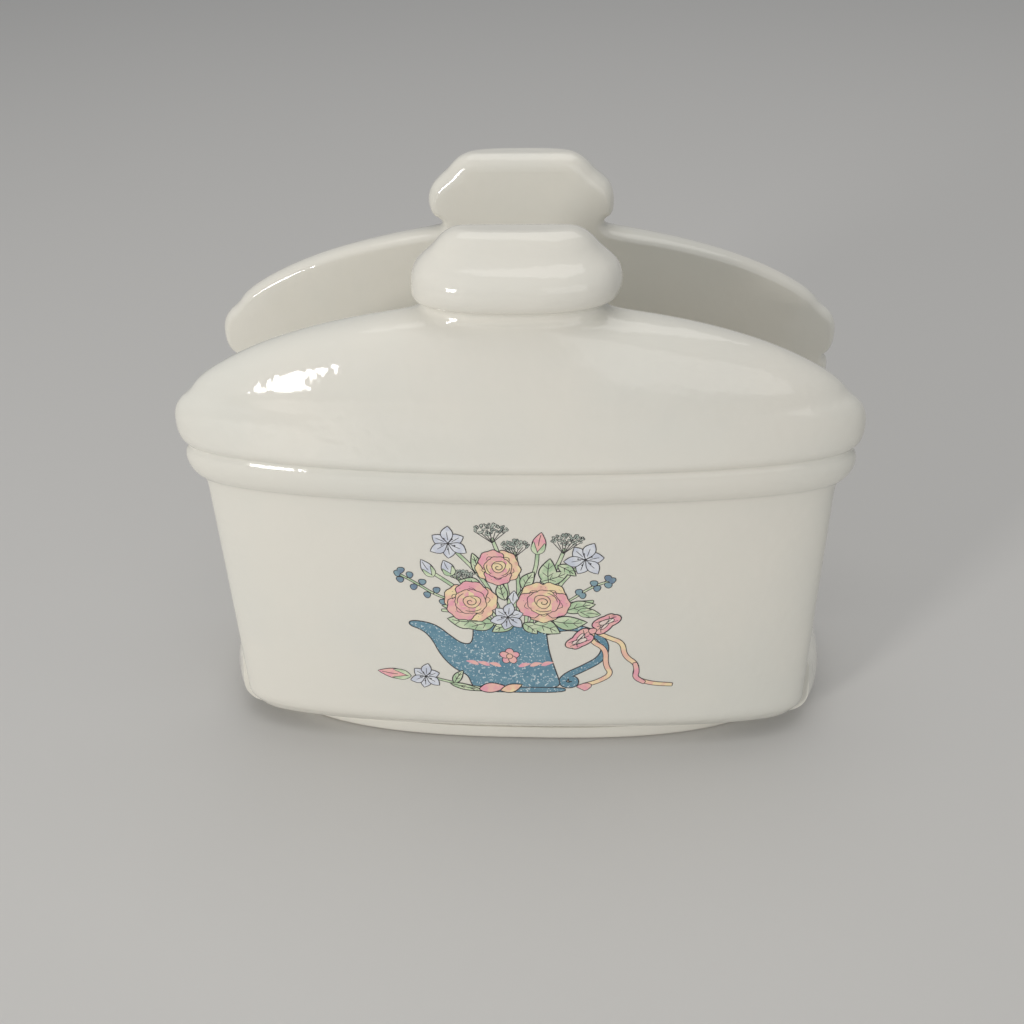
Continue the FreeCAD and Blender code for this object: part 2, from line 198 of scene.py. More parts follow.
def edge_round(level):
    share = held((level - NECK - CREST_START) / CREST_RUN)
    return EDGE_ROUND + (CREST_EDGE - EDGE_ROUND) * share


def plan_point(step, half_width, depth, square, normal, edge):
    """A point of a level outline, and how far it drops: round front, soft edges, flat slot face."""
    if step <= FRONT_STEPS:
        turn = math.pi * step / FRONT_STEPS
        return half_width * rounded(math.cos(turn), square), -depth * rounded(math.sin(turn), square), 0.0
    step -= FRONT_STEPS
    side = -1
    if step > CORNER_STEPS + FLAT_STEPS:
        side, step = 1, 2 * CORNER_STEPS + FLAT_STEPS - step
    turn = math.pi / 2 * min(step / CORNER_STEPS, 1)
    pull = edge * (1 - math.cos(turn))
    x = side * (half_width - pull * normal[0])
    if side < 0 and step > CORNER_STEPS:
        x *= 1 - 2 * (step - CORNER_STEPS) / FLAT_STEPS
    return x, WALL * math.sin(turn), -pull * normal[1]


def cap_point(point, level, lean, ring):
    """The same point of an end outline, drawn in towards the middle of the flat end."""
    x, y, _ = point
    x, y = x * ring, y * ring
    back = held(y / WALL)
    return x, y, level - lean * edge_round(level) * (1 - math.sqrt(1 - back ** 2))


def outline_normals(profile):
    """Outward direction, in X and Z, of the outline at each section."""
    normals = []
    for number in range(len(profile)):
        before = profile[max(number - NORMAL_SPAN, 0)]
        after = profile[min(number + NORMAL_SPAN, len(profile) - 1)]
        normals.append(Vector((after[0] - before[0], before[1] - after[1])).normalized())
    for number in range(NORMAL_SPAN):
        share = 1 - number / NORMAL_SPAN
        normals[number] = normals[number].lerp(Vector((0, -1)), share).normalized()
        normals[-1 - number] = normals[-1 - number].lerp(Vector((0, 1)), share).normalized()
    return normals


def half_tureen(name, sections, side, knob_lean):
    """A solid through sections of (level, half width, depth, squareness), in front (-1) or behind (1)."""
    profile = soften(sections, 2)
    normals = outline_normals(profile)
    caps = len(CAP_RINGS)
    piece, places = grid(name, AROUND, len(profile) - 1 + 2 * caps)
    for vertex, (step, row) in zip(piece.data.vertices, places):
        number = min(max(row - caps, 0), len(profile) - 1)
        level, half_width, depth, square = profile[number]
        x, y, drop = plan_point(step % AROUND, half_width, depth, square, normals[number],
                                edge_round(level))
        z = level + drop
        if row < caps:
            x, y, z = cap_point((x, y, z), level, -1, CAP_RINGS[caps - 1 - row])
        elif row >= caps + len(profile):
            x, y, z = cap_point((x, y, z), level, 1, CAP_RINGS[row - caps - len(profile)])
        x += knob_lean * held((z - NECK) / LEAN_RUN)
        vertex.co = (x * MM, -side * (y - RELIEF) * MM, z * MM)
    close_tube(piece)
    return piece


def body_sections():
    """Flat bottom, round bottom edge, sloping wall and rim roll."""
    end, front = BODY_LOW - BOTTOM_ROUND, BODY_LOW_DEPTH - FRONT_ROUND
    rim, rim_depth = LIP - 1.5, LIP_DEPTH - 1.1
    return [(UNDERSIDE, end - 1, front - 1, 2), (UNDERSIDE, end + 3.4, front + 2.8, 2),
            (UNDERSIDE + 2.4, BODY_LOW - 2.2, BODY_LOW_DEPTH - 1.4, 2),
            (UNDERSIDE + 5.2, BODY_LOW + 0.1, BODY_LOW_DEPTH + 0.5, 2),
            (WALL_FOOT + 2, BODY_LOW + 0.1, BODY_LOW_DEPTH + 0.1, 2),
            (WALL_FOOT + 34, BODY_LOW + 1.0, BODY_LOW_DEPTH + 0.65, 2),
            (RIM_FOOT - 8, BODY_TOP - 0.2, BODY_TOP_DEPTH - 0.15, 2),
            (RIM_FOOT - 0.6, BODY_TOP, BODY_TOP_DEPTH, 2),
            (RIM_FOOT + 0.6, BODY_TOP + 1.9, BODY_TOP_DEPTH + 1.3, 2),
            (RIM_FOOT + 2.6, rim - 0.4, rim_depth - 0.3, 2),
            (SEAM - 3.4, rim + 0.4, rim_depth + 0.3, 2), (SEAM - 1.2, rim + 0.1, rim_depth + 0.1, 2),
            (SEAM - 0.4, rim - 0.6, rim_depth - 0.3, 2)]


def dome(angle):
    """A section of the dome, at an angle up its outline."""
    turn = math.radians(angle)
    base, rise = SEAM + 0.4, NECK - SEAM - 0.6
    depth = LIP_DEPTH - DOME_PULL_IN * (1 - math.cos(turn)) - DOME_HOLLOW * math.sin(2 * turn)
    return base + rise * math.sin(turn), (LIP + DOME_OVER) * math.cos(turn), depth, 2


def lid_sections():
    """Lip roll, dome, neck fillet, overhanging belly, hollow shoulder and flat crest."""
    lip = SEAM + 7.3
    return [(SEAM + 0.3, LIP - 2.5, LIP_DEPTH - 1.6, 2), (SEAM + 1.1, LIP - 1.5, LIP_DEPTH - 0.7, 2),
            (SEAM + 2.4, LIP - 0.6, LIP_DEPTH + 0.1, 2), (lip - 2.4, LIP + 0.05, LIP_DEPTH - 0.5, 2),
            (lip + 2.2, LIP - 0.1, LIP_DEPTH - 1.6, 2), (lip + 5.2, LIP - 1.9, LIP_DEPTH - 2.2, 2),
            (lip + 7.2, LIP - 4.6, LIP_DEPTH - 2.5, 2),
            *(dome(angle) for angle in DOME_ANGLES),
            (NECK - 1.2, KNOB - 0.6, 8.9, 2), (NECK - 0.3, KNOB - 2.4, 8.6, 2.1),
            (NECK + 0.8, KNOB - 2.9, 8.7, 2.2), (NECK + 1.8, KNOB - 2.1, 9.9, 2.4),
            (NECK + 2.6, KNOB - 0.7, KNOB_DEPTH - 1.2, 2.5), (NECK + 4.6, KNOB, KNOB_DEPTH, 2.6),
            (NECK + 7.6, KNOB + 0.1, KNOB_DEPTH + 0.2, 2.6),
            (NECK + 10.4, KNOB - 1.0, KNOB_DEPTH - 1.3, 2.6),
            (NECK + 12.3, KNOB - 2.9, 9.4, 2.6), (NECK + 14.0, KNOB - 4.9, 8.0, 2.7),
            (NECK + 15.8, KNOB - 6.4, 7.0, 2.8), (TOP - 1.2, KNOB - 8.1, 5.9, 2.8),
            (TOP - 0.2, KNOB - 10.2, 4.6, 2.8), (TOP, KNOB - 12.2, 3.4, 2.7), (TOP, KNOB - 14, 2.2, 2.6)]


def make_half(side, word, glaze, knob_lean):
    tureen = half_tureen(f"{word}_tureen", body_sections() + lid_sections(), side, knob_lean)
    settle(tureen, glaze, "glaze", f"{word}_body", f"{word}_slot_wall", f"{word}_lid", f"{word}_knob")


# Saddle: slot floor, bowed ends and bottom


SADDLE_INSET = 0.8               # how far its sides stop short of the halves' front plane
END_BOW = 6.1                    # how far each end bows out
BOW_START, BOW_RUN = 60, 9       # where along the length the bow comes in
TOP_ROUND, FOOT_ROUND = 9.5, 6.0   # rounded edges of the two ends
ROUND_STEPS = 12
FILLET = 3.0                     # hollow where the slot floor meets the slot walls
FILLET_REACH = 6.4               # how far below the floor the fillet still acts
SIDE_CUTS = (0.4, 0.8, 1.3, 1.9, 2.6, 3.4, 6, 9, 12, 15, 18)
END_CUTS = (40, 60, 66)
VENT_RADIUS, VENT_DEPTH, VENT_PLACE = 4.5, 18, 35


def round_ends(piece, level, radius):
    """Rounds the two edges at a level that run from side to side."""
    edit(piece)
    bpy.ops.mesh.select_all(action="DESELECT")
    leave_edit()
    for edge in piece.data.edges:
        ends = [piece.data.vertices[number].co for number in edge.vertices]
        along = abs(ends[0].y - ends[1].y) > MM
        edge.select = along and all(abs(end.z - level * MM) < 0.1 * MM for end in ends)
    bpy.ops.object.mode_set(mode="EDIT")
    bpy.ops.mesh.select_mode(type="EDGE")
    bpy.ops.mesh.bevel(offset=radius * MM, segments=ROUND_STEPS, affect="EDGES")
    leave_edit()


def cut_vents(piece):
    """Two round holes in the bottom that let the air out in the kiln."""
    for side in (-1, 1):
        only_nothing()
        place = (side * VENT_PLACE * MM, 0, UNDERSIDE * MM)
        bpy.ops.mesh.primitive_cylinder_add(vertices=48, radius=VENT_RADIUS * MM, depth=VENT_DEPTH * MM,
                                            location=place)
        vent = bpy.context.object
        apply_modifier(piece, "BOOLEAN", operation="DIFFERENCE", solver="EXACT", object=vent)
        bpy.data.objects.remove(vent)


def make_saddle(glaze):
    floor, half_length = saddle_high.z, saddle_high.x
    inner = RELIEF - SADDLE_INSET
    only_nothing()
    half_size = ((half_length - END_BOW) * MM, inner * MM, (floor - UNDERSIDE) / 2 * MM)
    bpy.ops.mesh.primitive_cube_add(size=2, location=(0, 0, (floor + UNDERSIDE) / 2 * MM), scale=half_size)
    piece = bpy.context.object
    piece.name = piece.data.name = "saddle_and_slot_floor"
    bpy.ops.object.transform_apply(location=True, scale=True)
    round_ends(piece, floor, TOP_ROUND)
    round_ends(piece, UNDERSIDE, FOOT_ROUND)
    edit(piece)
    slice_up((0, 1, 0), [side * (inner - inset) for inset in SIDE_CUTS for side in (-1, 1)] + [0])
    slice_up((1, 0, 0), [side * place for place in END_CUTS for side in (-1, 1)])
    leave_edit()
    for vertex in piece.data.vertices:
        x, y, z = vertex.co / MM
        bowed = END_BOW * (1 - (abs(y) / (RELIEF + 2)) ** 3)
        x += math.copysign(bowed * held((abs(x) - BOW_START) / BOW_RUN), x)
        near = abs(y) - (SLOT_FACE - FILLET)
        if near > 0 and z > floor - FILLET_REACH:
            z += FILLET - math.sqrt(max(FILLET ** 2 - min(near, FILLET) ** 2, 0))
        vertex.co = Vector((x, y, z)) * MM
    cut_vents(piece)
    settle(piece, glaze, "glaze", "saddle")


# Foot ring


FOOT_WIDTH = 6.0
FOOT_SQUARE = 2.6                # 2 would be a true oval; more is squarer
FOOT_STEPS = 160


def make_foot(material):
    half_length, half_depth = foot_high.x, foot_high.y
    height, width = foot_high.z, FOOT_WIDTH
    section = soften([(0, height), (0, 2.0), (-0.25, 0.5), (-1.3, 0), (-width + 1.3, 0),
                      (-width + 0.2, 0.6), (-width, 2.0), (-width, height), (-width / 2, height + 0.3)], 2)
    piece, places = grid("foot_ring_glazed", FOOT_STEPS, len(section))
    for vertex, (step, row) in zip(piece.data.vertices, places):
        offset, level = section[row % len(section)]
        turn = math.tau * step / FOOT_STEPS
        x = half_length * rounded(math.cos(turn), FOOT_SQUARE)
        y = half_depth * rounded(math.sin(turn), FOOT_SQUARE)
        power = FOOT_SQUARE - 1
        out = Vector((abs(x / half_length) ** power * math.copysign(1 / half_length, x),
                      abs(y / half_depth) ** power * math.copysign(1 / half_depth, y))).normalized()
        vertex.co = ((x + out.x * offset) * MM, (y + out.y * offset) * MM, level * MM)
    close_tube(piece)
    settle(piece, material, "foot", "foot_ring")


# Printed bouquet: flat shapes in X and Z on the front wall, each a thin closed film on a level of its own


FILM = 0.0062                    # rise from one level of the print to the next
FILM_SHARE = 0.8                 # how much of that rise a shape is thick
PRINT_LIFT = 0.02                # gap between the wall and the lowest level
PRINT_CUT = 3                    # size of the small faces that follow the wall
PRINT_ACROSS, PRINT_UP = (-39, 42), (18, 78)   # span of the cuts, from side to side and upwards
PRINT = {}                       # the shapes of each ink, with their levels

# Two tones of each ink and how strongly it is speckled
INKS = {
    "outline": ((52, 51, 54), (72, 68, 70), 0.0),
    "pot_blue": ((112, 152, 170), (101, 143, 163), 0.8),
    "pink": ((242, 172, 186), (245, 194, 184), 0.0),
    "peach": ((249, 227, 182), (246, 198, 178), 0.0),
    "sage": ((216, 228, 196), (182, 208, 170), 0.0),
    "lilac": ((228, 231, 237), (208, 213, 226), 0.0),
    "floret": ((206, 214, 202), (176, 192, 182), 0.0),
    "blue_grey": ((138, 168, 178), (118, 140, 164), 0.0),
    "glaze_white": ((244, 234, 222), (243, 214, 210), 0.0),
}


def side_of(points):
    """1 where a closed outline runs anticlockwise, -1 where it runs clockwise."""
    pairs = zip(points, points[1:] + points[:1])
    return math.copysign(1, sum(one[0] * two[1] - two[0] * one[1] for one, two in pairs))


def grow(points, by):
    """The outline moved outwards all round."""
    side = side_of(points)
    grown = []
    for number, (x, z) in enumerate(points):
        before, after = Vector(points[number - 1]), Vector(points[(number + 1) % len(points)])
        along = (after - before).normalized()
        grown.append((x + side * by * along.y, z - side * by * along.x))
    return grown


def ink(colour, points, level):
    if side_of(points) < 0:
        points = points[::-1]
    PRINT.setdefault(colour, []).append((points, level))


def inked(colour, points, level, line=0.3):
    """A coloured shape with a dark line round it."""
    ink("outline", grow(points, line), level)
    ink(colour, points, level + 1)


def closed(points, rounds=2):
    """A closed outline with its corners rounded off."""
    for _ in range(rounds):
        points = cut_corners(zip(points, points[1:] + points[:1]))
    return points


def stroke(path, width, taper=0.4):
    """The outline of a brush stroke along a path, thinner towards its ends."""
    path = soften(path)
    left, right = [], []
    for number, (x, z) in enumerate(path):
        before, after = Vector(path[max(number - 1, 0)]), Vector(path[min(number + 1, len(path) - 1)])
        along = (after - before).normalized()
        share = number / (len(path) - 1)
        half = width / 2 * (taper + (1 - taper) * math.sin(math.pi * share) ** 0.5)
        left.append((x - along.y * half, z + along.x * half))
        right.append((x + along.y * half, z - along.x * half))
    return left + right[::-1]


def line(path, level, width):
    ink("outline", stroke(path, width), level)


def polar(centre, radius, angle):
    return centre[0] + radius * math.cos(angle), centre[1] + radius * math.sin(angle)


def dot(centre, radius, sides, turn=0.0):
    return [polar(centre, radius, turn + math.tau * number / sides) for number in range(sides)]


def run_of(base, tip):
    """Start, run and sideways direction of a shape that goes from base to tip."""
    start, run = Vector(base), Vector(tip) - Vector(base)
    return start, run, Vector((-run.y, run.x)).normalized()


def blade(base, tip, width, bend, blunt=0.8):
    """A pointed oval from base to tip, bent to one side."""
    start, run, across = run_of(base, tip)
    sides = ([], [])
    for number in range(1, 12):
        share = number / 12
        middle = start + run * share + across * bend * math.sin(math.pi * share)
        half = width / 2 * math.sin(math.pi * share ** blunt)
        sides[0].append(tuple(middle + across * half))
        sides[1].append(tuple(middle - across * half))
    return [tuple(start)] + sides[0] + [tuple(start + run)] + sides[1][::-1]


def leaf(base, tip, width, level, bend):
    """A green leaf with a spine and two pairs of side veins."""
    inked("sage", blade(base, tip, width, bend), level)
    start, run, across = run_of(base, tip)
    spine = [start + run * share + across * bend * math.sin(math.pi * share)
             for share in (0, 0.3, 0.6, 0.86)]
    line([tuple(point) for point in spine], level + 2, 0.22)
    for share, point in ((0.3, spine[1]), (0.6, spine[2])):
        for side in (-1, 1):
            end = point + run * 0.16 + across * side * width * (0.36 - 0.12 * share)
            line([tuple(point), tuple(end)], level + 2, 0.16)


def stem(path, level=1, width=0.75):
    path = stroke(path, width, 0.7)
    inked("sage", path, level, 0.2)


def star_lily(centre, radius, turn, level=12):
    """Six pointed pale petals with a line down each and dark anthers."""
    for number in range(6):
        angle = turn + math.tau * number / 6
        tip = polar(centre, radius * (1.0 if number % 2 else 0.86), angle)
        petal = blade(polar(centre, 0.3, angle), tip, radius * 0.56, radius * 0.05, 1.05)
        inked("lilac", petal, level + 2 * (number % 2), 0.22)
        crease = [polar(centre, radius * 0.2, angle), polar(centre, radius * 0.66, angle + 0.08)]
        line(crease, level + 4, 0.17)
    for number in range(5):
        angle = turn + 0.4 + math.tau * number / 5
        end = polar(centre, radius * 0.34, angle)
        line([centre, end], level + 5, 0.15)
        ink("outline", dot(end, 0.24, 6), level + 5)


def ruffled(centre, width, height, turn, waves, depth):
    """A wavy-edged oval petal."""
    points = []
    for number in range(30):
        angle = math.tau * number / 30
        swell = 1 + depth * math.sin(waves * angle + turn * 3)
        x, z = width / 2 * swell * math.cos(angle), height / 2 * swell * math.sin(angle)
        points.append((centre[0] + x * math.cos(turn) - z * math.sin(turn),
                       centre[1] + x * math.sin(turn) + z * math.cos(turn)))
    return points


def rose(centre, radius, turn, squash=0.9):
    """A full rose: ruffled outer petals, cupped inner ones and a coiled heart."""
    level = 12

    def at(share, angle):
        x, z = polar((0, 0), radius * share, angle)
        return centre[0] + x, centre[1] + z * squash

    for number in range(5):
        angle = turn + math.tau * number / 5
        colour = "pink" if number % 2 else "peach"
        petal = ruffled(at(0.5, angle), radius * 0.98, radius * 1.14, angle, 7, 0.06)
        inked(colour, petal, level + 2 * (number % 2), 0.24)
        line([at(0.62, angle - 0.3), at(0.78, angle), at(0.66, angle + 0.28)], level + 4, 0.16)
    for number in range(4):
        angle = turn + 0.7 + math.tau * number / 4
        colour = "peach" if number % 2 else "pink"
        petal = ruffled(at(0.27, angle), radius * 0.64, radius * 0.8, angle, 6, 0.06)
        inked(colour, petal, level + 5, 0.2)
    heart = ruffled(at(0.05, turn), radius * 0.62, radius * 0.52, turn, 3, 0.06)
    inked("peach", heart, level + 7, 0.2)
    coil = [at(0.04 + 0.026 * number, turn + 0.85 * number) for number in range(10)]
    line(coil, level + 9, 0.24)
    line([at(0.5, turn + 1.9 + step / 4) for step in range(6)], level + 9, 0.2)
    line([at(0.52, turn + 4.1 + step / 4) for step in range(6)], level + 9, 0.2)
    for number in range(14):
        spot = at(chance.uniform(0.55, 0.9), chance.uniform(0, math.tau))
        ink("outline", dot(spot, 0.09, 5), level + 9)


def umbel(centre, width, foot):
    """A lacy flat head of tiny florets on fine stalks."""
    for number in range(7):
        x = centre[0] + width * (number / 6 - 0.5) * 0.9
        line([foot, ((foot[0] + x) / 2, (foot[1] + centre[1]) / 2 - 0.3), (x, centre[1] - 0.7)], 3, 0.2)
    for number in range(88):
        angle, share = chance.uniform(0, math.tau), chance.uniform(0, 1) ** 0.5
        spot = (centre[0] + width / 2 * share * math.cos(angle),
                centre[1] + width * 0.21 * share * math.sin(angle) + 0.35 * (1 - share))
        ink("outline", dot(spot, chance.uniform(0.26, 0.42), 6, angle), 5)
        ink("floret", dot(spot, chance.uniform(0.12, 0.24), 5, angle), 6)


def berry_sprig(path, count):
    """A thin stem with berries to either side and one at its tip."""
    stem(path, 3, 0.4)
    curve = soften(path, 3)
    for number in range(count):
        share = 0.32 + 0.68 * number / (count - 1)
        x, z = curve[round(share * (len(curve) - 1))]
        side = 1 if number % 2 else -1
        spot = (x + 0.5 * side, z + 1.25 * side)
        if number == count - 1:
            spot = (x, z)
        line([(x - 0.4, z), spot], 4, 0.26)
        inked("blue_grey", ruffled(spot, 1.7, 1.5, number, 3, 0.08), 6, 0.2)


def bud(base, tip, width, colour, level=8):
    """A closed bud held by two sepals."""
    inked(colour, blade(base, tip, width, 0, 0.9), level, 0.22)
    start, run, across = run_of(base, tip)
    for side in (-1, 1):
        point = start + run * 0.55 + across * side * width * 0.42
        inked("sage", blade(base, tuple(point), width * 0.34, side * width * 0.14), level + 2, 0.16)
    line([tuple(start + run * 0.4), tuple(start + run * 0.6 + across * 0.15), tuple(start + run * 0.9)],
         level + 4, 0.18)


BADGE = (-2.3, 31.9)             # middle of the blossom on the can


def draw_pot():
    """A speckled garden can with a spout to the left and a curled handle to the right."""
    handle = [(6.6, 39.6), (12, 41.6), (18, 40.6), (22.4, 36.4), (21.6, 31.4), (16.6, 28),
              (12.6, 25.8), (10.9, 23.6), (12.3, 22.2), (14.6, 22.8), (14.3, 24.6), (12.9, 24.4)]
    can = [(-11.2, 41.4), (-11.3, 37.6), (-12.2, 35.4), (-14.6, 35.6), (-17.4, 38), (-20.4, 41),
           (-23.6, 42.2), (-27.4, 42.4), (-27.6, 41), (-24.4, 39.8), (-22, 37), (-20, 31.6),
           (-16.8, 27.4), (-13.2, 25.4), (-12.4, 22.4), (-11.8, 21.4), (0, 21.2), (10.8, 21.4),
           (9.8, 25.6), (7.9, 32.4), (7.2, 38), (7, 41.4), (-2, 41.8)]
    base = [(-13.2, 21.5), (-13.2, 20.1), (-1, 19.9), (11.8, 20.1), (11.9, 21.5), (-1, 21.4)]
    inked("pot_blue", stroke(handle, 1.7, 0.75), 3)
    inked("pot_blue", closed(can), 5)
    inked("pot_blue", closed(base), 7)
    for side in (-1, 1):
        for number in range(3):
            foot = (-2.3 + side * (2.2 + 2.9 * number), 28.4 + 0.25 * number)
            tip = (foot[0] + side * 3.4, foot[1] + 1.1)
            ink("pink", blade(foot, tip, 1.25, side * 0.25), 7 + number % 2)
    for number in range(5):
        angle = math.radians(90 + 72 * number)
        petal = ruffled(polar(BADGE, 1.35, angle), 2.3, 1.9, angle, 2, 0.04)
        inked("pink", petal, 9 + 2 * (number % 2), 0.2)
    inked("peach", dot(BADGE, 0.72, 12), 13, 0.18)


def draw_stems():
    for path in ([(-3, 41), (-6, 52), (-10, 59), (-14.6, 64.4)],
                 [(-1, 41), (-2.6, 55), (-3.6, 62), (-5.6, 68.6)],
                 [(0, 41), (0.6, 54), (0.2, 60), (-0.2, 64.6)],
                 [(2, 41), (3, 54), (5, 60), (5.4, 65)],
                 [(3, 41), (6, 53), (10, 60), (12, 65.6)],
                 [(4, 41), (9, 52), (13, 58), (16.2, 61)],
                 [(-5, 41), (-11, 50), (-17, 55), (-21.6, 58.4)],
                 [(-4, 42), (-10, 52), (-14, 56), (-16.6, 58)],
                 [(5, 42), (9, 47), (13, 49), (19, 49.6)],
                 [(-6, 42), (-10, 45), (-15, 46), (-19, 46.2)]):
        stem(path)


def draw_leaves():
    leaves = (((-10, 43), (-17.6, 43.6), 4.2, 0.5), ((-6, 42.6), (-12.6, 40.8), 4, -0.4),
              ((-9, 46), (-18.8, 47.6), 3.6, -0.4), ((4, 42.4), (10.6, 39.6), 4.2, 0.5),
              ((9, 43.4), (17.4, 43), 4, -0.5), ((12, 46.6), (19.4, 48.6), 3.4, 0.4),
              ((1.6, 42.6), (4.8, 39.4), 3, 0.3), ((-1, 42.4), (-6.4, 39.8), 3.2, -0.4),
              ((8, 55), (8.4, 62.6), 4.2, 0.4), ((6, 55.8), (13, 58.8), 3.4, -0.4),
              ((-9, 54.6), (-14.2, 55.6), 3.6, 0.3), ((-9.4, 58), (-10.6, 64), 2.4, -0.3),
              ((1.6, 53.6), (4.4, 58.6), 3, 0.3), ((10.4, 60.6), (14.6, 57.6), 2.6, 0.3),
              ((-3, 50), (-4, 55.4), 2.6, 0.3), ((1, 49), (1.8, 53.6), 2.4, -0.2))
    for base, tip, width, bend in leaves:
        leaf(base, tip, width, 6, bend)


def draw_flowers():
    umbel((-6, 71.2), 8.4, (-5.6, 67.2))
    umbel((-0.2, 66.8), 7, (0, 63.2))
    umbel((12.6, 68.4), 8, (11.6, 64.2))
    umbel((-13.6, 57.6), 6.4, (-11.6, 54.4))
    berry_sprig([(-12, 48.4), (-19.6, 50.4), (-25, 54.4), (-29.6, 57.2)], 9)
    berry_sprig([(8.6, 46.6), (14, 50.6), (19, 54.4), (23.6, 56)], 8)
    bud((-20.6, 56.6), (-23.4, 61.6), 2.7, "lilac")
    bud((-16, 57.2), (-17.8, 61.6), 3, "lilac")
    bud((-1.2, 47.6), (-0.6, 52.8), 2.6, "lilac")
    bud((5.2, 64), (6.4, 70.4), 3.2, "pink")
    bud((15.2, 46.4), (20.8, 45.4), 2.6, "sage")
    star_lily((-16.4, 66.8), 5, 0.5)
    star_lily((17, 62.4), 5.2, 0.1)
    rose((-4.4, 60), 5.6, 0.9)
    rose((-11.6, 49.2), 6.8, 0.2, 0.86)
    rose((6.6, 49.4), 6.7, 2.2, 0.88)
    star_lily((-2.4, 44.6), 4.6, 0.3, 16)


def draw_bow():
    """Four loops, a knot and two trailing ribbons, one with a turned-over stretch and end."""
    for centre, turn in (((22.4, 43.2), 0.35), ((22, 42.4), 1.0), ((15.6, 37), 0.4), ((15.8, 37.8), 1.1)):
        inked("pink", ruffled(centre, 7.2, 3.5, turn, 2, 0.04), 11)
        inked("glaze_white", ruffled(centre, 3.8, 1.3, turn, 2, 0.03), 13, 0.18)
        for shift in (-0.22, 0.22):
            start = polar(centre, 2.9, turn + shift)
            end = polar(centre, 2.9, turn + math.pi - shift)
            line([start, (centre[0] + shift * 5, centre[1] + shift * 5), end], 15, 0.18)
    short_tail = [(19, 40), (18.4, 37), (22.4, 34.4), (22.2, 29), (24, 26), (20, 23.4), (16.6, 22.4)]
    long_tail = [(19.2, 40.2), (23, 38), (26.6, 36.4), (27, 32), (30.6, 29), (29.6, 24.6), (34, 22.6),
                 (39.6, 22)]
    for tail in (short_tail, long_tail):
        inked("peach", stroke(tail, 1.15, 0.7), 9, 0.2)
    turned_over = [(29.8, 29.6), (30.4, 27), (29.8, 24.8), (32.4, 23)]
    tail_end = [(17.4, 23.2), (14.6, 22), (16, 21.2), (17.2, 20.4), (19, 22.4)]
    inked("pink", stroke(turned_over, 1.2, 0.6), 11, 0.2)
    inked("pink", closed(tail_end, 1), 11, 0.2)
    inked("pink", ruffled((18.9, 40.3), 1.9, 1.6, 0.4, 3, 0.06), 16, 0.2)


def draw_fallen_flower():
    stem([(-23, 24), (-17, 22.4), (-10, 21)], 9, 0.5)
    leaf((-17, 22.4), (-14.6, 26.6), 2, 11, 0.2)
    leaf((-18, 22.2), (-9.6, 20.2), 1.6, 11, -0.1)
    bud((-28.4, 24), (-37, 25.2), 3.1, "pink", 9)
    star_lily((-24.4, 24.2), 4.3, 0.35, 13)
    inked("pink", blade((-10.4, 20.6), (-3.4, 21.6), 2.9, 0.2, 0.8), 15)
    inked("peach", blade((-4.8, 20.4), (0.6, 22.4), 2.4, -0.2, 0.9), 17)


def body_wall():
    """Level, half width and depth of the wall, up to the rim, as the glazed body has them."""
    return [section[:3] for section in soften(body_sections() + lid_sections(), 2) if section[0] < RIM_FOOT]


def on_wall(x, z, wall):
    """How far forward the glazed wall lies at a place."""
    for one, two in zip(wall, wall[1:]):
        if one[0] <= z <= two[0] and two[0] > one[0]:
            share = (z - one[0]) / (two[0] - one[0])
            half_width = one[1] + share * (two[1] - one[1])
            depth = one[2] + share * (two[2] - one[2])
            return -RELIEF - depth * math.sqrt(1 - (x / half_width) ** 2)
    raise ValueError("the print runs off the wall")


def lay_print(colour, shapes, material, wall):
    """One colour of the print: its shapes cut into small faces, given a thickness and laid on the wall."""
    corners, faces = [], []
    for points, level in shapes:
        faces.append(range(len(corners), len(corners) + len(points)))
        corners += [(x * MM, -level * FILM * MM, z * MM) for x, z in points]
    mesh = bpy.data.meshes.new(f"print_{colour}")
    mesh.from_pydata(corners, [], faces)
    piece = bpy.data.objects.new(f"print_{colour}", mesh)
    bpy.context.collection.objects.link(piece)
    edit(piece)
    bpy.ops.mesh.quads_convert_to_tris(ngon_method="BEAUTY")
    slice_up((1, 0, 0), range(*PRINT_ACROSS, PRINT_CUT))
    slice_up((0, 0, 1), range(*PRINT_UP, PRINT_CUT))
    leave_edit()
    apply_modifier(piece, "SOLIDIFY", thickness=FILM * FILM_SHARE * MM, offset=-1)
    for vertex in piece.data.vertices:
        x, rise, z = vertex.co / MM
        vertex.co.y = (on_wall(x, z, wall) - PRINT_LIFT + rise) * MM
    settle(piece, material, "print", "front_transfer")


def make_print(group):
    draw_pot()
    draw_stems()
    draw_leaves()
    draw_flowers()
    draw_bow()
    draw_fallen_flower()
    wall = body_wall()
    for colour, shapes in PRINT.items():
        first, second, specks = INKS[colour]
        lay_print(colour, shapes, print_ink(colour, group, tint(*first), tint(*second), specks), wall)


# Materials


CREAM, CREAM_CLOUD = (0.79, 0.765, 0.69), (0.755, 0.745, 0.68)
FOOT_CLOUD = (0.75, 0.73, 0.66)
RIPPLE = 0.2                     # how strongly the glaze undulates
GLAZE_IOR = 1.52
COLOUR_IN, COLOUR_OUT = (6, 7), 2   # sockets of a Mix node that is set to colours
VALUE_IN, VALUE_OUT = (2, 3), 0     # and of one that is set to values


def tint(red, green, blue):
    """A colour from its 0 to 255 values."""
    return tuple(((part / 255 + 0.055) / 1.055) ** 2.4 for part in (red, green, blue))


def new_material(name):
    material = bpy.data.materials.new(name)
    material.use_nodes = True
    tree = material.node_tree
    return material, tree, tree.nodes["Principled BSDF"]


def plug(tree, value, socket):
    """Feeds an input from another node's output, or sets it."""
    if isinstance(value, bpy.types.NodeSocket):
        tree.links.new(value, socket)
    else:
        socket.default_value = value


